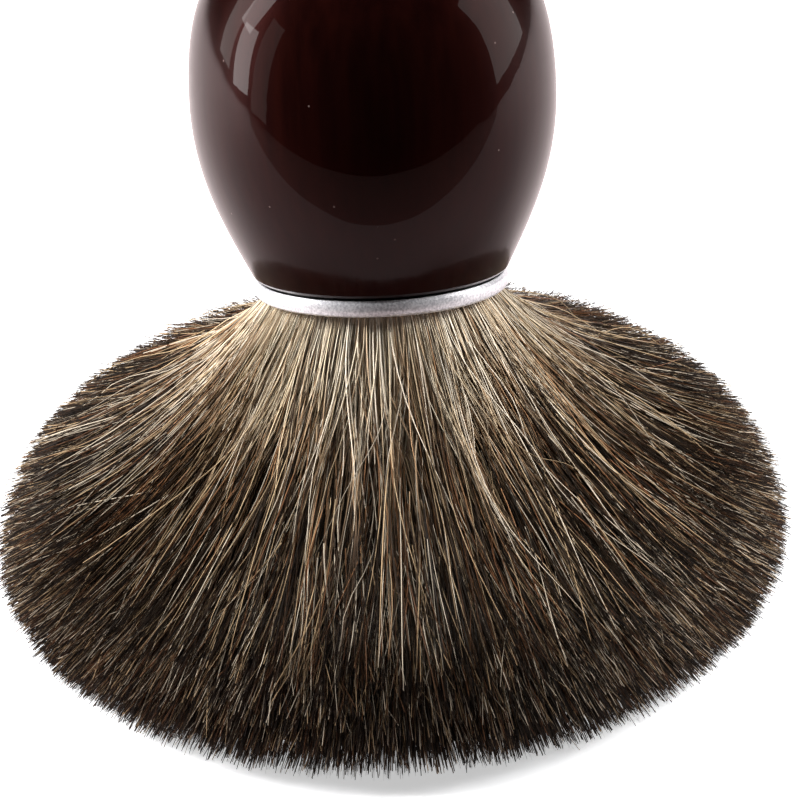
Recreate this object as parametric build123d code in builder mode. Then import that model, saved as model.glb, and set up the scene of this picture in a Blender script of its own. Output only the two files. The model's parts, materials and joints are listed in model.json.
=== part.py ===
from build123d import *
import math
import os

# Shaving brush, knot down: the free hair is splayed on the surface and the handle leans back.
# Z = 0 is the surface, the origin is the centre of the splayed hair, +Y is the way the handle leans.
# Turned pieces are drawn as (radius, height) in the profile plane, where height is measured
# along the handle's axis from the collar's mouth. Millimetres and degrees.

# Placing of the handle on the hair
LEAN = 16.4                    # the handle's axis from the vertical
MOUTH_HEIGHT = 34.5            # centre of the collar's mouth above the surface

# Handle
HANDLE_START = 2.05            # lower face, just above the collar's groove
HANDLE_LENGTH = 56.0
NECK_RADIUS = 13.55            # handle's radius at its lower edge
BELLY_RADIUS = 19.1
BELLY_HEIGHT = 20.9
WAIST_RADIUS = 12.7
WAIST_HEIGHT = 46.0
FOOT_RADIUS = 15.6
FOOT_EDGE_ROUND = 1.4

# Collar ring
COLLAR_RADIUS = 13.4
COLLAR_BAND = 1.7              # visible height of the band
GROOVE_RADIUS = 12.5           # bottom of the shadow groove between band and handle
SLEEVE_RADIUS = 11.85
SLEEVE_TOP = 6.3

# Bore and what is glued into it
COUNTERBORE_RADIUS = 11.9
COUNTERBORE_TOP = 6.6
BORE_RADIUS = 11.2             # also the inside of the collar
BORE_TOP = 15.6
GLUE_BOTTOM = 2.7
CUP_RADIUS = 10.9
CUP_WALL = 0.6
CUP_FLOOR = 1.0
CUP_BOTTOM = 2.4
CUP_TOP = 15.0

# Hair roots
PLUG_BOTTOM = 6.9
ROOT_RADIUS = 9.0
ROOT_BOTTOM = 3.2
ROOT_FLARE = 0.7               # the roots open by this much below the thread
ROOT_FLARE_TOP = 4.2
ROOT_TOP = 12.5
THREAD_RADIUS = 0.28
THREAD_TURNS = 4
THREAD_PITCH = 0.6
THREAD_FIRST = 4.75

# Free hair
HAIR_TOP = 2.9                 # inside the collar, 0.3 short of the roots
HAIR_TOP_RADIUS = 9.9
HAIR_MOUTH_RADIUS = 10.7
HAIR_MOUTH = -0.35             # the hair leaves the collar here and starts to spread
RIM_RADIUS = 42.4
RIM_TOP = 12.6                 # height of the shoulder of the splayed hair
RIM_TOP_RADIUS = 38.0
RIM_FOOT_RADIUS = 41.0
SPREAD_SECTIONS = 6
SPREAD_RADIUS = 37.6           # where the spread meets the rim's flat top
SPREAD_POWER = 1.6             # 1 is a straight cone; more is steeper at the collar, flatter at the rim

lean = math.radians(LEAN)
mouth = Vector(0, 0, MOUTH_HEIGHT)
axis_up = Vector(0, math.sin(lean), math.cos(lean))
brush_axis = Axis(mouth, axis_up)
profile_plane = Plane(origin=mouth, x_dir=(1, 0, 0), z_dir=(0, -math.cos(lean), math.sin(lean)))
handle_end = HANDLE_START + HANDLE_LENGTH
spread_start = mouth + axis_up * HAIR_MOUTH


def across(height):
    """Plane square to the handle's axis, at a height above the collar's mouth."""
    return Plane(origin=mouth + axis_up * height, x_dir=(1, 0, 0), z_dir=axis_up)


# Handle: turned outside, with a counterbore for the collar's sleeve and a blind bore for the knot
with BuildPart() as handle_body:
    with BuildSketch(profile_plane):
        with BuildLine():
            lower_edge = (NECK_RADIUS, HANDLE_START + 0.3)
            Line((0, HANDLE_START), (NECK_RADIUS - 0.3, HANDLE_START))
            Line((NECK_RADIUS - 0.3, HANDLE_START), lower_edge)
            Spline(
                lower_edge,
                (17.38, 10.9),
                (BELLY_RADIUS, BELLY_HEIGHT),
                tangents=[(0.5, 1), (0, 1)],
            )
            Spline(
                (BELLY_RADIUS, BELLY_HEIGHT),
                (17.85, 30.5),
                (WAIST_RADIUS, WAIST_HEIGHT),
                tangents=[(0, 1), (0, 1)],
            )
            Spline(
                (WAIST_RADIUS, WAIST_HEIGHT),
                (FOOT_RADIUS, handle_end - FOOT_EDGE_ROUND),
                tangents=[(0, 1), (0, 1)],
            )
            RadiusArc(
                (FOOT_RADIUS, handle_end - FOOT_EDGE_ROUND),
                (FOOT_RADIUS - FOOT_EDGE_ROUND, handle_end),
                -FOOT_EDGE_ROUND,
            )
            Line((FOOT_RADIUS - FOOT_EDGE_ROUND, handle_end), (0, handle_end))
            Line((0, handle_end), (0, HANDLE_START))
        make_face()
    revolve(axis=brush_axis)
    with BuildSketch(across(HANDLE_START)):
        Circle(COUNTERBORE_RADIUS)
    extrude(amount=COUNTERBORE_TOP - HANDLE_START, mode=Mode.SUBTRACT)
    with BuildSketch(across(COUNTERBORE_TOP)):
        Circle(BORE_RADIUS)
    extrude(amount=BORE_TOP - COUNTERBORE_TOP, mode=Mode.SUBTRACT)
handle_body.part.label = "handle_body"

# Collar ring: domed band with rolled edges, a groove above it and a sleeve inside the handle
with BuildPart() as collar_ring:
    with BuildSketch(profile_plane):
        with BuildLine():
            Line((BORE_RADIUS, SLEEVE_TOP), (BORE_RADIUS, 0.3))
            ThreePointArc((BORE_RADIUS, 0.3), (BORE_RADIUS + 0.09, 0.09), (BORE_RADIUS + 0.3, 0))
            Line((BORE_RADIUS + 0.3, 0), (COLLAR_RADIUS - 0.45, 0))
            ThreePointArc(
                (COLLAR_RADIUS - 0.45, 0),
                (COLLAR_RADIUS - 0.19, 0.1),
                (COLLAR_RADIUS - 0.08, 0.35),
            )
            ThreePointArc(
                (COLLAR_RADIUS - 0.08, 0.35),
                (COLLAR_RADIUS, COLLAR_BAND / 2),
                (COLLAR_RADIUS - 0.08, COLLAR_BAND - 0.35),
            )
            Line((COLLAR_RADIUS - 0.08, COLLAR_BAND - 0.35), (COLLAR_RADIUS - 0.32, COLLAR_BAND))
            Line((COLLAR_RADIUS - 0.32, COLLAR_BAND), (GROOVE_RADIUS, COLLAR_BAND))
            Line((GROOVE_RADIUS, COLLAR_BAND), (GROOVE_RADIUS, HANDLE_START))
            Line((GROOVE_RADIUS, HANDLE_START), (SLEEVE_RADIUS, HANDLE_START))
            Line((SLEEVE_RADIUS, HANDLE_START), (SLEEVE_RADIUS, SLEEVE_TOP))
            Line((SLEEVE_RADIUS, SLEEVE_TOP), (BORE_RADIUS, SLEEVE_TOP))
        make_face()
    revolve(axis=brush_axis)
collar_ring.part.label = "collar_ring"

# Knot cup: thin moulded cup, mouth down
with BuildPart() as knot_cup:
    with BuildSketch(across(CUP_BOTTOM)):
        Circle(CUP_RADIUS)
    extrude(amount=CUP_TOP - CUP_BOTTOM)
    with BuildSketch(across(CUP_BOTTOM)):
        Circle(CUP_RADIUS - CUP_WALL)
    extrude(amount=CUP_TOP - CUP_FLOOR - CUP_BOTTOM, mode=Mode.SUBTRACT)
knot_cup.part.label = "knot_cup"

# Adhesive bed: fills the space between the cup and the bore, round the side and over the top
with BuildPart() as adhesive_bed:
    with BuildSketch(across(GLUE_BOTTOM)):
        Circle(BORE_RADIUS)
    extrude(amount=BORE_TOP - GLUE_BOTTOM)
    with BuildSketch(across(GLUE_BOTTOM)):
        Circle(CUP_RADIUS)
    extrude(amount=CUP_TOP - GLUE_BOTTOM, mode=Mode.SUBTRACT)
adhesive_bed.part.label = "adhesive_bed"

# Root plug: resin cast in the cup, round the roots and over their ends
with BuildPart() as root_plug:
    with BuildSketch(across(PLUG_BOTTOM)):
        Circle(CUP_RADIUS - CUP_WALL)
    extrude(amount=CUP_TOP - CUP_FLOOR - PLUG_BOTTOM)
    with BuildSketch(across(PLUG_BOTTOM)):
        Circle(ROOT_RADIUS)
    extrude(amount=ROOT_TOP - PLUG_BOTTOM, mode=Mode.SUBTRACT)
root_plug.part.label = "root_plug"

# Root bundle: the bound roots, straight in the plug and opening below the thread
with BuildPart() as root_bundle:
    with BuildSketch(profile_plane):
        with BuildLine():
            Polyline(
                (0, ROOT_BOTTOM),
                (ROOT_RADIUS + ROOT_FLARE, ROOT_BOTTOM),
                (ROOT_RADIUS, ROOT_FLARE_TOP),
                (ROOT_RADIUS, ROOT_TOP),
                (0, ROOT_TOP),
                close=True,
            )
        make_face()
    revolve(axis=brush_axis)
root_bundle.part.label = "root_bundle"

# Root binding: turns of thread side by side round the roots, each a closed ring
with BuildPart() as root_binding:
    for turn in range(THREAD_TURNS):
        with BuildSketch(profile_plane):
            with Locations((ROOT_RADIUS + THREAD_RADIUS + 0.02, THREAD_FIRST + turn * THREAD_PITCH)):
                Circle(THREAD_RADIUS)
        revolve(axis=brush_axis)
root_binding.part.label = "root_binding"

# Free hair: a neck inside the collar, a flare that turns from the handle's lean to level,
# and a thick round rim on the surface
with BuildPart() as free_hair:
    with BuildSketch(profile_plane):
        with BuildLine():
            Polyline(
                (0, HAIR_MOUTH),
                (HAIR_MOUTH_RADIUS, HAIR_MOUTH),
                (HAIR_MOUTH_RADIUS, 0.6),
                (HAIR_TOP_RADIUS, HAIR_TOP),
                (0, HAIR_TOP),
                close=True,
            )
        make_face()
    revolve(axis=brush_axis)
    for step in range(SPREAD_SECTIONS):
        share = step / (SPREAD_SECTIONS - 1)
        still_up = (1 - share) ** SPREAD_POWER
        centre = (0, spread_start.Y * still_up, RIM_TOP + (spread_start.Z - RIM_TOP) * still_up)
        radius = HAIR_MOUTH_RADIUS + (SPREAD_RADIUS - HAIR_MOUTH_RADIUS) * share
        tilt = lean * still_up
        level = Plane(origin=centre, x_dir=(1, 0, 0), z_dir=(0, math.sin(tilt), math.cos(tilt)))
        with BuildSketch(level):
            Circle(radius)
    loft()
    with BuildSketch(Plane.XZ):
        with BuildLine():
            Line((0, 0), (RIM_FOOT_RADIUS, 0))
            ThreePointArc((RIM_FOOT_RADIUS, 0), (RIM_RADIUS, RIM_TOP * 0.45), (RIM_TOP_RADIUS, RIM_TOP))
            Line((RIM_TOP_RADIUS, RIM_TOP), (0, RIM_TOP))
            Line((0, RIM_TOP), (0, 0))
        make_face()
    revolve(axis=Axis.Z)
free_hair.part.label = "free_hair"

os.makedirs("parts", exist_ok=True)
pieces = [
    handle_body,
    collar_ring,
    knot_cup,
    adhesive_bed,
    root_plug,
    root_bundle,
    root_binding,
    free_hair,
]
for piece in pieces:
    export_step(piece.part, f"parts/{piece.part.label}.step")
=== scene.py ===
import json
import math

import bpy
import numpy as np
from mathutils import Matrix, Vector


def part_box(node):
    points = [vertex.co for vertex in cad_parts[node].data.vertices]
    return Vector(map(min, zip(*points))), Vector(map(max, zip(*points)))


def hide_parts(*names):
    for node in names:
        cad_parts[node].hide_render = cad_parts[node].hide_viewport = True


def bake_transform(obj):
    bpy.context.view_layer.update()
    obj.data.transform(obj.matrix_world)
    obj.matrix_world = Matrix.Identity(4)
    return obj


# Looks of the shaving brush: lacquered handle, chrome collar and a splayed knot of single hairs.
# Lengths are in metres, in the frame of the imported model: Z = 0 is the surface, +Y is the way
# the handle leans. "Along" is measured on the handle's axis, up from the collar's mouth.

MM = 0.001
SEED = 11
FLOOR_REACH = 0.5              # half the floor's side: further out its lights fall off and it turns grey

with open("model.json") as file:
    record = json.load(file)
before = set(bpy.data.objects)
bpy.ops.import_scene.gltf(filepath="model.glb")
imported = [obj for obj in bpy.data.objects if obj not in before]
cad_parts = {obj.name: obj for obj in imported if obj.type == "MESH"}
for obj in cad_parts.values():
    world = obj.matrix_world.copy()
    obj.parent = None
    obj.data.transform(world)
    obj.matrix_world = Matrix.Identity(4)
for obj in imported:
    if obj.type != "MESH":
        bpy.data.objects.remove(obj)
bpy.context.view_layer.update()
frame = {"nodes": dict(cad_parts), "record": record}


# ---------------------------------------------------------------------------------------------
# Frame: the handle's axis and the sizes that the looks follow

def handle_axis():
    """Centre of the collar's mouth, and the unit vector up the handle."""
    foot = next(m for m in frame["record"]["mounts"] if m["name"] == "foot_face")
    up = Vector(foot["axis"]).normalized()
    end = Vector(foot["pos_m"])
    lowest = min((v.co - end).dot(up) for v in frame["nodes"]["collar_ring"].data.vertices)
    return end + up * lowest, up


MOUTH, UP = handle_axis()
SIDE = Vector((1, 0, 0))
BACK = UP.cross(SIDE).normalized()
HAIR_LOW, HAIR_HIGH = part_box("free_hair")
RIM_RADIUS = (HAIR_HIGH.x - HAIR_LOW.x) / 2
RING_LOW, RING_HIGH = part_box("collar_ring")
RING_RADIUS = (RING_HIGH.x - RING_LOW.x) / 2


# ---------------------------------------------------------------------------------------------
# Camera and stage

def make_camera():
    """Long lens, a little above the hair, turned by the picture's small roll."""
    elevation = math.radians(31.6)
    roll = math.radians(-2.55)
    distance = 0.400
    target = Vector((0.0014, 0, 0.0205))
    toward = Vector((0, -math.cos(elevation), math.sin(elevation)))
    data = bpy.data.cameras.new("camera")
    data.lens = 167.8
    data.sensor_width = 36
    data.clip_start = 0.01
    camera = bpy.data.objects.new("camera", data)
    bpy.context.scene.collection.objects.link(camera)
    turn = toward.to_track_quat("Z", "Y") @ Matrix.Rotation(roll, 3, "Z").to_quaternion()
    camera.rotation_euler = turn.to_euler()
    camera.location = target + toward * distance
    bpy.context.scene.camera = camera


def new_material(name):
    material = bpy.data.materials.new(name)
    material.use_nodes = True
    nodes, links = material.node_tree.nodes, material.node_tree.links
    return material, nodes, links, nodes["Principled BSDF"]


def plain_material(name, colour, roughness):
    material, _, _, shader = new_material(name)
    shader.inputs["Base Color"].default_value = (*colour, 1)
    shader.inputs["Roughness"].default_value = roughness
    return material


def card(name, low, high, material, seen, mirrored):
    """Flat stage rectangle at low.z, spanned by low and high: either what the camera sees, or what
    the object mirrors and is lit by."""
    mesh = bpy.data.meshes.new(name)
    z = low[2]
    mesh.from_pydata(
        [(low[0], low[1], z), (high[0], low[1], z), (high[0], high[1], z), (low[0], high[1], z)],
        [],
        [(0, 1, 2, 3)],
    )
    mesh.materials.append(material)
    obj = bpy.data.objects.new(name, mesh)
    bpy.context.scene.collection.objects.link(obj)
    obj.visible_camera = seen
    obj.visible_glossy = mirrored
    obj.visible_diffuse = mirrored
    obj.visible_shadow = seen


def area_light(name, place, aim, width, height, power, colour=(1, 1, 1), glossy=True, roll=0.0):
    """Rectangular light at a place, facing an aim and rolled by some degrees. One that is not glossy
    lights the object but is not mirrored in it."""
    data = bpy.data.lights.new(name, "AREA")
    data.shape = "RECTANGLE"
    data.size = width
    data.size_y = height
    data.energy = power
    data.color = colour
    light = bpy.data.objects.new(name, data)
    bpy.context.scene.collection.objects.link(light)
    light.location = place
    turn = (Vector(place) - Vector(aim)).to_track_quat("Z", "Y")
    turn = turn @ Matrix.Rotation(math.radians(roll), 3, "Z").to_quaternion()
    light.rotation_euler = turn.to_euler()
    light.visible_glossy = glossy


def make_stage():
    """Floor that the camera sees, and the sheet and darker table that the object mirrors and is lit by."""
    floor = plain_material("floor_white", (0.68, 0.68, 0.69), 0.85)
    floor_shader = floor.node_tree.nodes["Principled BSDF"]
    floor_shader.inputs["Emission Color"].default_value = (1, 1, 1, 1)
    floor_shader.inputs["Emission Strength"].default_value = 0.53
    white = plain_material("sheet_white", (0.32, 0.275, 0.275), 0.85)
    grey = plain_material("table_grey", (0.13, 0.10, 0.095), 0.9)
    card("floor", (-FLOOR_REACH, -FLOOR_REACH, -0.0002), (FLOOR_REACH, FLOOR_REACH, 0), floor, True, False)
    card("sheet", (-0.55, -0.082, -0.0001), (0.45, 1.2, 0), white, False, True)
    card("table_front", (-0.55, -0.22, -0.0001), (0.45, -0.082, 0), grey, False, True)
    world = bpy.data.worlds.new("studio")
    bpy.context.scene.world = world
    world.use_nodes = True
    nodes, links = world.node_tree.nodes, world.node_tree.links
    back = nodes["Background"]
    # white to the camera, nearly black to the light that falls on the object
    path = nodes.new("ShaderNodeLightPath")
    mix = nodes.new("ShaderNodeMixRGB")
    mix.inputs[1].default_value = (0.012, 0.011, 0.011, 1)
    mix.inputs[2].default_value = (1.0, 1.0, 1.0, 1)
    links.new(path.outputs["Is Camera Ray"], mix.inputs[0])
    links.new(mix.outputs[0], back.inputs["Color"])
    # the panels are what the lacquer mirrors, and the fills only light the hair
    blush, cream = (1, 0.93, 0.90), (1, 0.96, 0.95)
    area_light("overhead", (0.0, 0.16, 0.72), (0, 0, 0), 0.40, 0.35, 5.2)
    area_light("left_panel", (-0.48, 0.14, 0.22), (0, 0.14, 0.07), 0.12, 0.40, 0.46, blush)
    area_light("left_low", (-0.48, -0.01, 0.12), (0, -0.01, 0.0), 0.11, 0.20, 0.62, cream, roll=7)
    area_light("left_high", (-0.48, 0.035, 0.31), (0, 0.035, 0.17), 0.11, 0.22, 0.62, cream, roll=-9)
    area_light("left_edge", (-0.48, -0.15, 0.17), (0, -0.15, 0.03), 0.11, 0.34, 0.14, (1, 0.88, 0.84), roll=4)
    area_light("right_panel", (0.50, 0.06, 0.21), (0, 0, 0.06), 0.32, 0.38, 0.9, (1, 0.95, 0.93))
    area_light("left_fill", (-0.43, 0.07, 0.27), (0, 0, 0.03), 0.22, 0.22, 7.7, glossy=False)
    area_light("right_fill", (0.44, 0.06, 0.26), (0, 0, 0.03), 0.22, 0.22, 4.9, glossy=False)


make_camera()
make_stage()


# ---------------------------------------------------------------------------------------------
# Shader helpers

def math_node(nodes, links, operation, first, second=None):
    node = nodes.new("ShaderNodeMath")
    node.operation = operation
    for socket, value in zip(node.inputs, (first, second)):
        if value is None:
            continue
        if isinstance(value, (int, float)):
            socket.default_value = value
        else:
            links.new(value, socket)
    return node.outputs[0]


def ramp_node(nodes, links, value, stops, mode="LINEAR"):
    node = nodes.new("ShaderNodeValToRGB")
    node.color_ramp.interpolation = mode
    elements = node.color_ramp.elements
    elements.remove(elements[-1])
    elements[0].position = stops[0][0]
    elements[0].color = (*stops[0][1], 1)
    for place, colour in stops[1:]:
        elements.new(place).color = (*colour, 1)
    links.new(value, node.inputs[0])
    return node.outputs[0]


def mix_node(nodes, links, factor, first, second):
    node = nodes.new("ShaderNodeMixRGB")
    for socket, value in zip(node.inputs, (factor, first, second)):
        if isinstance(value, tuple):
            socket.default_value = (*value, 1)
        else:
            links.new(value, socket)
    return node.outputs[0]


def noise_node(nodes, links, vector, scale, detail=3.0):
    node = nodes.new("ShaderNodeTexNoise")
    node.inputs["Scale"].default_value = scale
    node.inputs["Detail"].default_value = detail
    links.new(vector, node.inputs["Vector"])
    return node.outputs[0]


def axis_place(nodes, links, across=1.0, along=1.0):
    """Place on the object with Z up the handle's axis and 0 at the collar's mouth, stretched across and
    along the axis."""
    place = nodes.new("ShaderNodeTexCoord").outputs["Object"]
    combine = nodes.new("ShaderNodeCombineXYZ")
    for socket, way, scale in zip(combine.inputs, (SIDE, BACK, UP), (across, across, along)):
        dot = nodes.new("ShaderNodeVectorMath")
        dot.operation = "DOT_PRODUCT"
        links.new(place, dot.inputs[0])
        dot.inputs[1].default_value = way
        shifted = math_node(nodes, links, "SUBTRACT", dot.outputs["Value"], MOUTH.dot(way))
        links.new(math_node(nodes, links, "MULTIPLY", shifted, scale), socket)
    return combine.outputs[0]


def add_bump(nodes, links, shader, height, distance):
    bump = nodes.new("ShaderNodeBump")
    bump.inputs["Distance"].default_value = distance
    links.new(height, bump.inputs["Height"])
    links.new(bump.outputs[0], shader.inputs["Normal"])
    return bump.outputs[0]


def dress(node, material):
    data = frame["nodes"][node].data
    data.materials.clear()
    data.materials.append(material)


# ---------------------------------------------------------------------------------------------
# Materials of the handle, the collar and the parts inside them

def lacquer_material():
    """Dark red-brown wood under a deep, faintly rippled clear coat, with a few specks of dust in it."""
    material, nodes, links, shader = new_material("lacquered_wood")
    grain = noise_node(nodes, links, axis_place(nodes, links, 900, 40), 1.0, 4.0)
    tones = [(0.3, (0.0034, 0.0006, 0.0005)), (0.7, (0.0070, 0.0012, 0.0008))]
    wood = ramp_node(nodes, links, grain, tones)
    cells = nodes.new("ShaderNodeTexVoronoi")
    cells.inputs["Scale"].default_value = 480
    links.new(axis_place(nodes, links), cells.inputs["Vector"])
    near = math_node(nodes, links, "LESS_THAN", cells.outputs["Distance"], 0.055)
    chance = nodes.new("ShaderNodeSeparateXYZ")
    links.new(cells.outputs["Color"], chance.inputs[0])
    chosen = math_node(nodes, links, "GREATER_THAN", chance.outputs["X"], 0.75)
    speck = math_node(nodes, links, "MULTIPLY", near, chosen)
    links.new(mix_node(nodes, links, speck, wood, (0.09, 0.065, 0.06)), shader.inputs["Base Color"])
    ripple = noise_node(nodes, links, axis_place(nodes, links, 1.0, 0.6), 130, 2.0)
    bump = add_bump(nodes, links, shader, ripple, 0.00004)
    shader.inputs["Roughness"].default_value = 0.3
    shader.inputs["Specular IOR Level"].default_value = 0.10
    shader.inputs["Specular Tint"].default_value = (1.0, 0.10, 0.08, 1)
    shader.inputs["Coat Weight"].default_value = 1.0
    shader.inputs["Coat Roughness"].default_value = 0.015
    shader.inputs["Coat IOR"].default_value = 1.22
    links.new(bump, shader.inputs["Coat Normal"])
    return material


def chrome_material():
    """Plated metal with a fine mottle and turning lines; the bottom of its groove is painted near black as
    shade.
    """
    material, nodes, links, shader = new_material("polished_chrome")
    place = axis_place(nodes, links)
    mottle = noise_node(nodes, links, place, 4200, 4.0)
    plate = ramp_node(nodes, links, mottle, [(0.36, (0.58, 0.58, 0.62)), (0.64, (0.92, 0.92, 0.95))])
    split = nodes.new("ShaderNodeSeparateXYZ")
    links.new(place, split.inputs[0])
    flat = nodes.new("ShaderNodeCombineXYZ")
    links.new(split.outputs["X"], flat.inputs["X"])
    links.new(split.outputs["Y"], flat.inputs["Y"])
    radius = nodes.new("ShaderNodeVectorMath")
    radius.operation = "LENGTH"
    links.new(flat.outputs[0], radius.inputs[0])
    groove_depth, groove_height = 0.48 * MM, 1.2 * MM    # in from the band, up from the mouth
    # painted shade: the groove, inside the band and above the mouth, is coloured near black where the shadow
    # falls
    inward = math_node(nodes, links, "SUBTRACT", RING_RADIUS - groove_depth, radius.outputs["Value"])
    upward = math_node(nodes, links, "SUBTRACT", split.outputs["Z"], groove_height)
    groove_shade_mask = math_node(nodes, links, "GREATER_THAN", math_node(nodes, links, "MINIMUM", inward, upward), 0.0)
    links.new(mix_node(nodes, links, groove_shade_mask, plate, (0.006, 0.006, 0.006)), shader.inputs["Base Color"])
    lines = noise_node(nodes, links, axis_place(nodes, links, 60, 9000), 1.0, 2.0)
    add_bump(nodes, links, shader, math_node(nodes, links, "ADD", mottle, lines), 0.000025)
    shader.inputs["Metallic"].default_value = 0.62
    shader.inputs["Roughness"].default_value = 0.32
    return material


def mottled_material(name, dark, light, across, along, roughness, bump):
    """Two tones of one colour in noise stretched across and along the axis, with matching relief."""
    material, nodes, links, shader = new_material(name)
    noise = noise_node(nodes, links, axis_place(nodes, links, across, along), 1.0, 4.0)
    links.new(ramp_node(nodes, links, noise, [(0.3, dark), (0.7, light)]), shader.inputs["Base Color"])
    add_bump(nodes, links, shader, noise, bump)
    shader.inputs["Roughness"].default_value = roughness
    return material


def dress_handle():
    dress("handle_body", lacquer_material())
    dress("collar_ring", chrome_material())
    plastic = mottled_material(
        "black_plastic", (0.010, 0.010, 0.011), (0.022, 0.022, 0.023), 1500, 1500, 0.42, 0.00002
    )
    epoxy = mottled_material("cured_epoxy", (0.42, 0.30, 0.13), (0.62, 0.50, 0.28), 700, 700, 0.22, 0.00002)
    resin = mottled_material("cast_resin", (0.24, 0.13, 0.045), (0.40, 0.25, 0.11), 500, 500, 0.18, 0.00001)
    roots = mottled_material(
        "badger_root_hair", (0.22, 0.16, 0.10), (0.66, 0.57, 0.43), 7000, 120, 0.45, 0.00008
    )
    thread = mottled_material(
        "cotton_thread", (0.55, 0.52, 0.45), (0.82, 0.80, 0.74), 3000, 9000, 0.8, 0.00006
    )
    dress("knot_cup", plastic)
    dress("adhesive_bed", epoxy)
    dress("root_plug", resin)
    dress("root_bundle", roots)
    dress("root_binding", thread)


dress_handle()


# ---------------------------------------------------------------------------------------------
# Hair

FAMILIES = 256                 # strands of one family share a column of the colour map
SIDES = 3                      # of a strand's tube
RIM_TOP = 12.6 * MM            # height of the splayed rim
RIM_WIDEST = 0.42              # share of that height where the rim is widest
LIP_RADIUS = 11.9 * MM         # where the outermost hair leaves the collar
LOCKS = 900
LOWEST = 0.12 * MM             # no strand's centre comes closer to the surface than this
CORE_INSET = 4.2               # mm that the core lies inside the tips
CORE_TUCK = 1.6                # mm more at its foot


def smooth(x):
    x = np.clip(x, 0, 1)
    return x * x * (3 - 2 * x)


def bezier(p0, p1, p2, p3, t):
    a = 1 - t
    weights = (a ** 3, 3 * a * a * t, 3 * a * t * t, t ** 3)
    return sum(p[:, None] * w[..., None] for p, w in zip((p0, p1, p2, p3), weights))


def rim_reach(bearing, height):
    """Radius that the tips reach: rounded over the shoulder, tucked in at the foot, and a little longer to
    the left and right than to the front and back."""
    above = np.clip(height / RIM_TOP - RIM_WIDEST, 0, None) / (1 - RIM_WIDEST)
    below = np.clip(RIM_WIDEST - height / RIM_TOP, 0, None) / RIM_WIDEST
    oval = 0.7 * np.cos(bearing) ** 2 + 0.25 * np.sin(2 * bearing)
    return RIM_RADIUS + (0.3 + oval - 4.0 * above ** 2 - 2.7 * below ** 2) * MM


def level_way(bearing, drop):
    """Unit vectors that point outward at a bearing and fall by an angle."""
    flat = np.cos(drop)
    return np.stack([flat * np.cos(bearing), flat * np.sin(bearing), -np.sin(drop)], 1)


def hair_curves(bearing, depth, reach, height, t, steeper=0.0, flatter=0.0):
    """Curves from the collar's lip to the rim. Depth is 0 for the outermost hair and 1 for the hair that
    ends on the surface; t runs from 0 at the lip to 1 at the tip."""
    tip = np.stack([reach * np.cos(bearing), reach * np.sin(bearing), height], 1)
    mouth, up, side, back = (np.array(v) for v in (MOUTH, UP, SIDE, BACK))
    spread = LIP_RADIUS * np.sqrt(1 - 0.92 * depth)[:, None]
    out = np.cos(bearing)[:, None] * side + np.sin(bearing)[:, None] * back
    lip = mouth - up * (0.55 + 1.2 * depth)[:, None] * MM + out * spread
    chord = tip - lip
    length = np.linalg.norm(chord, axis=1)
    slope = np.arcsin(np.clip(-chord[:, 2] / length, -1, 1))
    start_drop = slope + np.radians(14 - 4 * depth + steeper)
    end_drop = slope - np.radians(21 - 11 * depth + flatter)
    handle = (length * 0.36)[:, None]
    first = lip + level_way(bearing, start_drop) * handle
    second = tip - level_way(bearing, end_drop) * handle
    inside = lip + up * 1.9 * MM - out * spread * 0.1
    return bezier(lip, first, second, tip, t), inside


class Locks:
    """Locks of hair: each draws the strands near it together and shares a tone among them."""

    def __init__(self, rng):
        self.bearing = rng.random(LOCKS) * 2 * np.pi
        self.depth = rng.random(LOCKS)
        self.tone = rng.random(LOCKS)
        self.pull = rng.uniform(0.45, 0.95, LOCKS)
        self.lean = rng.normal(0, math.radians(2.0), LOCKS)

    def nearest(self, bearing, depth):
        found = np.zeros(len(bearing), int)
        batch = 4000               # keeps the table of distances small
        for low in range(0, len(bearing), batch):
            part = slice(low, low + batch)
            turn = np.abs((bearing[part, None] - self.bearing + np.pi) % (2 * np.pi) - np.pi)
            found[part] = (turn ** 2 + ((depth[part, None] - self.depth) * 1.2) ** 2).argmin(1)
        return found


def turn_about_z(paths, angle):
    """Swing every point of the paths about the Z axis by its own angle."""
    cos, sin = np.cos(angle), np.sin(angle)
    x = paths[..., 0] * cos - paths[..., 1] * sin
    y = paths[..., 0] * sin + paths[..., 1] * cos
    return np.stack([x, y, paths[..., 2]], -1)


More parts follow.
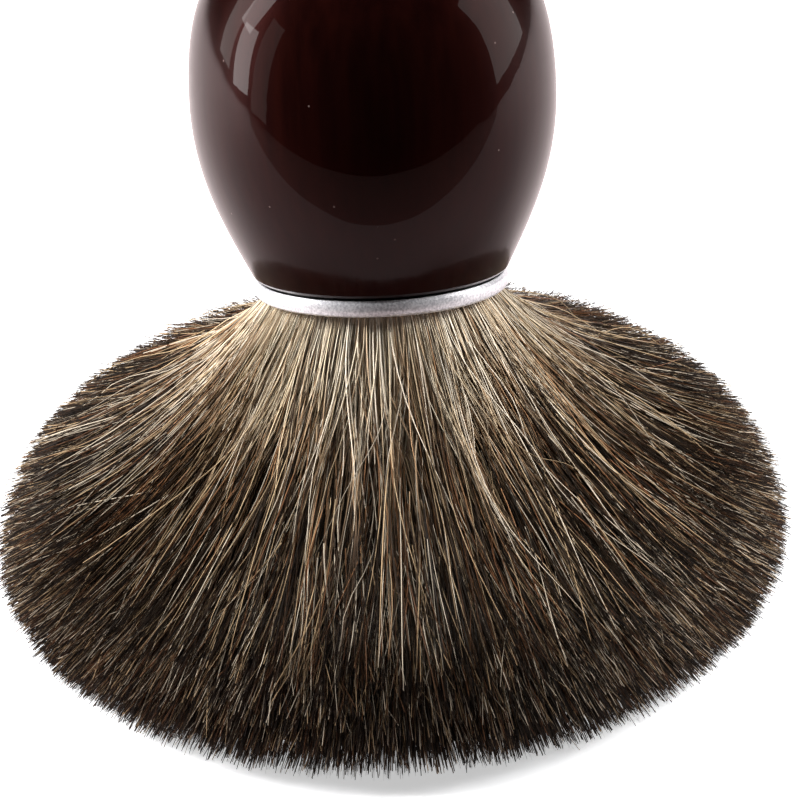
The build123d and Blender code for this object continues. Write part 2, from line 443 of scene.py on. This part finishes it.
def strand_paths(
    rng, locks, depth, samples, begin, end, cross=3.0, wild=0.1, wave=0.25, short=0.2, lift=0.0
):
    """Centre lines of hairs, from a begin to an end share of the way between the collar and the splayed
    rim. Cross is the scatter of the tips in degrees, wild the share that strays further, wave a sideways
    swing in mm, short the share cut short and lift a height in mm."""
    count = len(depth)
    bearing = rng.random(count) * 2 * np.pi
    lock = locks.nearest(bearing, depth)
    to_lock = (locks.bearing[lock] - bearing + np.pi) % (2 * np.pi) - np.pi
    height = (0.4 + 12.9 * (1 - depth) ** 0.85) * MM + rng.normal(0, 0.35, count) * MM
    height = np.maximum(height, 0.3 * MM)
    reach = rim_reach(bearing, height) - rng.gamma(1.3, 0.5, count) * MM + 0.35 * MM
    # the rim stands higher on the side that the handle leans to
    height += 1.6 * MM * (1 - depth) * np.clip(np.sin(bearing), 0, 1) ** 2
    cut = np.abs(rng.normal(0, 0.015, count)) + (rng.random(count) < short) * rng.random(count) * 0.3
    t = begin + np.linspace(0, 1, samples)[None] * (end * (1 - cut) - begin)[:, None]
    steeper, flatter = rng.normal(0, 2, count), rng.normal(0, 5, count)
    paths, inside = hair_curves(bearing, depth, reach, height, t, steeper, flatter)
    gather = smooth(t / 0.6) * (1 - 0.45 * smooth((t - 0.6) / 0.4))
    stray = rng.normal(0, math.radians(cross), count)
    stray += (rng.random(count) < wild) * rng.normal(0, math.radians(cross * 2.5), count)
    swing = (to_lock * locks.pull[lock])[:, None] * gather
    swing += (stray + locks.lean[lock])[:, None] * smooth(t) * t
    swing += rng.normal(0, math.radians(4.5), (count, 1)) * (1 - smooth(t / 0.5))
    paths = turn_about_z(paths, swing)
    beat = rng.uniform(0.6, 2.2, count)[:, None]
    phase = rng.uniform(0, 2 * np.pi, count)[:, None]
    curl = (np.sin(phase + beat * t * 2 * np.pi) - np.sin(phase)) * smooth(t * 1.6)
    paths += (rng.normal(0, wave, (count, 3)) * MM)[:, None] * curl[..., None]
    paths[..., 2] += lift * MM * np.sin(np.pi * np.clip(t, 0, 1) ** 0.7)
    paths[..., 2] = np.maximum(paths[..., 2], LOWEST)
    if begin == 0:
        paths = np.concatenate([inside[:, None], paths], 1)
    return paths, lock


def hair_mesh(name, paths, radius, family, begin, end):
    """One mesh of tapered three-sided tubes. Its map gives each family a column and runs up the strand."""
    count, points = paths.shape[:2]
    along = np.gradient(paths, axis=1)
    along /= np.linalg.norm(along, axis=2, keepdims=True) + 1e-12
    left = np.cross(along, (0.13, 0.27, 1.0))
    left /= np.linalg.norm(left, axis=2, keepdims=True) + 1e-12
    over = np.cross(left, along)
    angles = (np.arange(SIDES) * 2 * np.pi / SIDES)[None, None, :, None]
    ring = left[:, :, None] * np.cos(angles) + over[:, :, None] * np.sin(angles)
    verts = (paths[:, :, None] + ring * radius[:, :, None, None]).reshape(-1, 3)
    start = (np.arange(count) * points * SIDES)[:, None, None]
    row = (np.arange(points - 1) * SIDES)[None, :, None]
    col = np.arange(SIDES)[None, None, :]
    following = (col + 1) % SIDES
    corners = [row + col, row + following, row + SIDES + following, row + SIDES + col]
    quads = np.stack([start + corner for corner in corners], -1).reshape(-1, 4)
    first = start[:, :, 0] + np.arange(SIDES)[None, ::-1]
    last = start[:, :, 0] + (points - 1) * SIDES + np.arange(SIDES)[None]
    caps = np.concatenate([first, last])
    mesh = bpy.data.meshes.new(name)
    mesh.vertices.add(len(verts))
    mesh.vertices.foreach_set("co", verts.astype(np.float32).ravel())
    loops = np.concatenate([quads.ravel(), caps.ravel()])
    mesh.loops.add(len(loops))
    mesh.loops.foreach_set("vertex_index", loops.astype(np.int32))
    mesh.polygons.add(len(quads) + len(caps))
    starts = np.concatenate([np.arange(len(quads)) * 4, len(quads) * 4 + np.arange(len(caps)) * SIDES])
    mesh.polygons.foreach_set("loop_start", starts.astype(np.int32))
    mesh.polygons.foreach_set("use_smooth", np.ones(len(starts), bool))
    mesh.update(calc_edges=True)
    mesh.validate()
    uv = mesh.uv_layers.new(name="OFBake")
    place = np.zeros((count, points, SIDES, 2))
    place[..., 0] = (family[:, None, None] + np.linspace(0.3, 0.7, SIDES)) / FAMILIES
    place[..., 1] = np.linspace(0.01 + 0.98 * begin, 0.01 + 0.98 * end, points)[None, :, None]
    used = np.zeros(len(mesh.loops), np.int32)
    mesh.loops.foreach_get("vertex_index", used)
    uv.data.foreach_set("uv", place.reshape(-1, 2)[used].astype(np.float32).ravel())
    obj = bpy.data.objects.new(name, mesh)
    bpy.context.scene.collection.objects.link(obj)
    return obj


# Colours of the hair along its length, from the root (0) to the tip (1)
BANDED = [
    (0.0, (0.51, 0.45, 0.35)),
    (0.24, (0.46, 0.39, 0.285)),
    (0.39, (0.23, 0.155, 0.092)),
    (0.56, (0.034, 0.021, 0.013)),
    (1.0, (0.010, 0.0065, 0.0045)),
]
DARK = [
    (0.0, (0.36, 0.28, 0.19)),
    (0.25, (0.085, 0.056, 0.036)),
    (0.5, (0.012, 0.009, 0.007)),
    (1.0, (0.007, 0.0055, 0.005)),
]
BROWN = [
    (0.0, (0.45, 0.35, 0.235)),
    (0.35, (0.25, 0.14, 0.070)),
    (0.7, (0.10, 0.043, 0.019)),
    (1.0, (0.055, 0.026, 0.013)),
]
TAN = [
    (0.0, (0.49, 0.415, 0.30)),
    (0.45, (0.34, 0.25, 0.15)),
    (1.0, (0.22, 0.150, 0.085)),
]
PALE = [
    (0.0, (0.58, 0.525, 0.43)),
    (0.4, (0.50, 0.43, 0.34)),
    (0.6, (0.36, 0.31, 0.24)),
    (1.0, (0.33, 0.28, 0.215)),
]
BLACK, WHITE = (0, 0, 0), (1, 1, 1)


def hair_material(name, kinds):
    """Hair in families: each has a kind, a place for its bands and a lightness of its own. Kinds are
    (share, colours), and the shares add up to 1."""
    material, nodes, links, shader = new_material(name)
    uv = nodes.new("ShaderNodeUVMap")
    uv.uv_map = "OFBake"
    split = nodes.new("ShaderNodeSeparateXYZ")
    links.new(uv.outputs[0], split.inputs[0])
    scaled = math_node(nodes, links, "MULTIPLY", split.outputs["X"], FAMILIES)
    column = math_node(nodes, links, "FLOOR", scaled)
    white = nodes.new("ShaderNodeTexWhiteNoise")
    white.noise_dimensions = "1D"
    links.new(column, white.inputs["W"])
    chance = nodes.new("ShaderNodeSeparateXYZ")
    links.new(white.outputs["Color"], chance.inputs[0])
    # a family further along the map keeps its light roots for longer
    centred = math_node(nodes, links, "SUBTRACT", split.outputs["X"], 0.5)
    shift = math_node(nodes, links, "MULTIPLY", centred, 0.42)
    place = math_node(nodes, links, "SUBTRACT", split.outputs["Y"], shift)
    colour = ramp_node(nodes, links, place, kinds[0][1])
    passed = kinds[0][0]
    for share, colours in kinds[1:]:
        chosen = ramp_node(nodes, links, chance.outputs["Y"], [(0.0, BLACK), (passed, WHITE)], "CONSTANT")
        colour = mix_node(nodes, links, chosen, colour, ramp_node(nodes, links, place, colours))
        passed += share
    gain = nodes.new("ShaderNodeHueSaturation")
    value = math_node(nodes, links, "ADD", math_node(nodes, links, "MULTIPLY", chance.outputs["Z"], 0.8), 0.6)
    links.new(value, gain.inputs["Value"])
    links.new(colour, gain.inputs["Color"])
    links.new(gain.outputs[0], shader.inputs["Base Color"])
    shader.inputs["Roughness"].default_value = 0.3
    shader.inputs["Specular IOR Level"].default_value = 0.22
    shader.inputs["Specular Tint"].default_value = (1.0, 0.93, 0.84, 1)
    return material


def hair_piece(name, rng, locks, depth, samples, width, material, begin=0.0, end=1.0, **way):
    """A mesh of strands between the knot and the handle. Width is a typical radius in mm."""
    paths, lock = strand_paths(rng, locks, depth, samples, begin, end, **way)
    count, points = paths.shape[:2]
    reach = np.linspace(0, 1, points)[None]
    thick = rng.normal(width, width * 0.2, (count, 1)).clip(width * 0.55, width * 1.7) * MM
    blunt = rng.random((count, 1)) < 0.4
    point = np.where(blunt, 0.8, 0.15)
    radius = thick * (1.3 - 0.4 * reach) * (1 - (1 - point) * smooth((reach - 0.74) / 0.26))
    tone = 0.7 * locks.tone[lock] + 0.3 * rng.random(count)
    family = (tone * FAMILIES).astype(int).clip(0, FAMILIES - 1)
    piece = hair_mesh(name, paths, radius, family, begin, end)
    piece.data.materials.append(material)
    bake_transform(piece)
    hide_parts("free_hair")


def core_material():
    """Dark hair seen between the strands: streaks that run outward."""
    material, nodes, links, shader = new_material("hair_core")
    uv = nodes.new("ShaderNodeUVMap")
    uv.uv_map = "OFBake"
    stretch = nodes.new("ShaderNodeMapping")
    stretch.inputs["Scale"].default_value = (900, 5, 1)
    links.new(uv.outputs[0], stretch.inputs["Vector"])
    noise = noise_node(nodes, links, stretch.outputs[0], 1.0)
    streaks = [(0.3, (0.005, 0.004, 0.003)), (0.5, (0.022, 0.013, 0.008)), (0.7, (0.07, 0.045, 0.028))]
    links.new(ramp_node(nodes, links, noise, streaks), shader.inputs["Base Color"])
    shader.inputs["Roughness"].default_value = 0.6
    shader.inputs["Specular IOR Level"].default_value = 0.1
    return material


def make_core(rng):
    """Closed, finely ribbed body of dark hair that fills the knot under the single strands."""
    ribs, levels, face = 900, 12, 7
    bearing = np.arange(ribs) * 2 * np.pi / ribs
    ribbed = rng.normal(0, 0.12, ribs) * MM
    depth = np.full(ribs, 0.22)
    shoulder = 9.2 * MM
    reach = rim_reach(bearing, shoulder) - CORE_INSET * MM + ribbed
    t = np.repeat(np.linspace(0, 1, levels)[None], ribs, 0)
    top, inside = hair_curves(bearing, depth, reach, np.full(ribs, shoulder), t)
    rows = [inside[:, None], top]
    for step in range(1, face + 1):
        height = shoulder * (1 - step / face) + 0.25 * MM
        way = rim_reach(bearing, height) - (CORE_INSET + CORE_TUCK * step / face) * MM + ribbed
        ring = np.stack([way * np.cos(bearing), way * np.sin(bearing), 0 * bearing + height], 1)
        rows.append(ring[:, None])
    rings = np.concatenate(rows, 1).transpose(1, 0, 2)
    rings[2:-1, :, 2] += ribbed * 0.8
    tiers = len(rings)
    top_centre, low_centre = rings[0].mean(0), rings[-1].mean(0)
    verts = np.concatenate([rings.reshape(-1, 3), [top_centre, low_centre]])
    faces = []
    for level in range(tiers - 1):
        for rib in range(ribs):
            after = (rib + 1) % ribs
            low, high = level * ribs, (level + 1) * ribs
            faces.append((low + rib, high + rib, high + after, low + after))
    for rib in range(ribs):
        after = (rib + 1) % ribs
        last = (tiers - 1) * ribs
        faces.append((tiers * ribs, rib, after))
        faces.append((tiers * ribs + 1, last + after, last + rib))
    mesh = bpy.data.meshes.new("hair_core")
    mesh.from_pydata(verts.tolist(), [], faces)
    mesh.validate()
    uv = mesh.uv_layers.new(name="OFBake")
    level = np.concatenate([np.repeat(np.linspace(0.1, 0.9, tiers), ribs), [0.02, 0.98]])
    around = np.concatenate([np.tile(bearing / (2 * np.pi), tiers), [0.5, 0.5]])
    used = np.zeros(len(mesh.loops), np.int32)
    mesh.loops.foreach_get("vertex_index", used)
    uv.data.foreach_set("uv", np.stack([around[used], level[used]], 1).astype(np.float32).ravel())
    mesh.polygons.foreach_set("use_smooth", np.ones(len(mesh.polygons), bool))
    piece = bpy.data.objects.new("hair_core", mesh)
    bpy.context.scene.collection.objects.link(piece)
    mesh.materials.append(core_material())
    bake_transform(piece)
    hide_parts("free_hair")


def make_hair():
    rng = np.random.default_rng(SEED)
    locks = Locks(rng)
    share = 1.0
    make_core(rng)
    under = hair_material("under_hair", [(0.60, BANDED), (0.20, DARK), (0.15, BROWN), (0.05, TAN)])
    guard = hair_material("guard_hair", [(0.38, PALE), (0.26, TAN), (0.18, BROWN), (0.18, BANDED)])
    foot = hair_material("foot_hair", [(0.62, BANDED), (0.16, DARK), (0.16, BROWN), (0.06, TAN)])
    tips = hair_material("tip_hair", [(0.42, PALE), (0.30, TAN), (0.18, BROWN), (0.10, BANDED)])
    for number in range(3):
        depth = rng.random(int(2600 * share)) ** 1.3 * 0.3
        hair_piece(f"hair_cover_{number + 1}", rng, locks, depth, 11, 0.056, under)
    depth = rng.random(int(3800 * share)) ** 1.5 * 0.2
    way = {"end": 0.5, "cross": 7.0, "wild": 0.3, "short": 0.9, "wave": 0.4}
    hair_piece("hair_roots", rng, locks, depth, 8, 0.046, under, **way)
    for number in range(4):
        depth = 0.1 + 0.9 * rng.random(int(4600 * share))
        hair_piece(f"hair_rim_{number + 1}", rng, locks, depth, 7, 0.056, under, begin=0.5, wave=0.2)
    for number in range(2):
        depth = 0.74 + 0.26 * rng.random(int(7200 * share))
        name = f"hair_foot_{number + 1}"
        hair_piece(name, rng, locks, depth, 5, 0.060, foot, begin=0.7, wave=0.1, short=0.0)
    for number in range(2):
        depth = 0.12 + 0.88 * rng.random(int(3700 * share))
        name = f"hair_tips_{number + 1}"
        way = {"begin": 0.62, "cross": 4.5, "wild": 0.3, "wave": 0.3, "lift": 0.2}
        hair_piece(name, rng, locks, depth, 8, 0.050, tips, **way)
    for number in range(2):
        depth = rng.random(int(1500 * share)) ** 2 * 0.95
        name = f"hair_guard_{number + 1}"
        way = {"cross": 4.0, "wild": 0.3, "wave": 0.35, "short": 0.5, "lift": 0.4}
        hair_piece(name, rng, locks, depth, 14, 0.050, guard, **way)
    depth = rng.random(70) * 0.4
    way = {"cross": 9.0, "wild": 0.5, "wave": 1.1, "short": 0.7, "lift": 1.2}
    hair_piece("hair_strays", rng, locks, depth, 24, 0.036, guard, **way)


make_hair()

bpy.context.scene.view_settings.view_transform = "Standard"
bpy.context.scene.cycles.denoising_prefilter = "NONE"
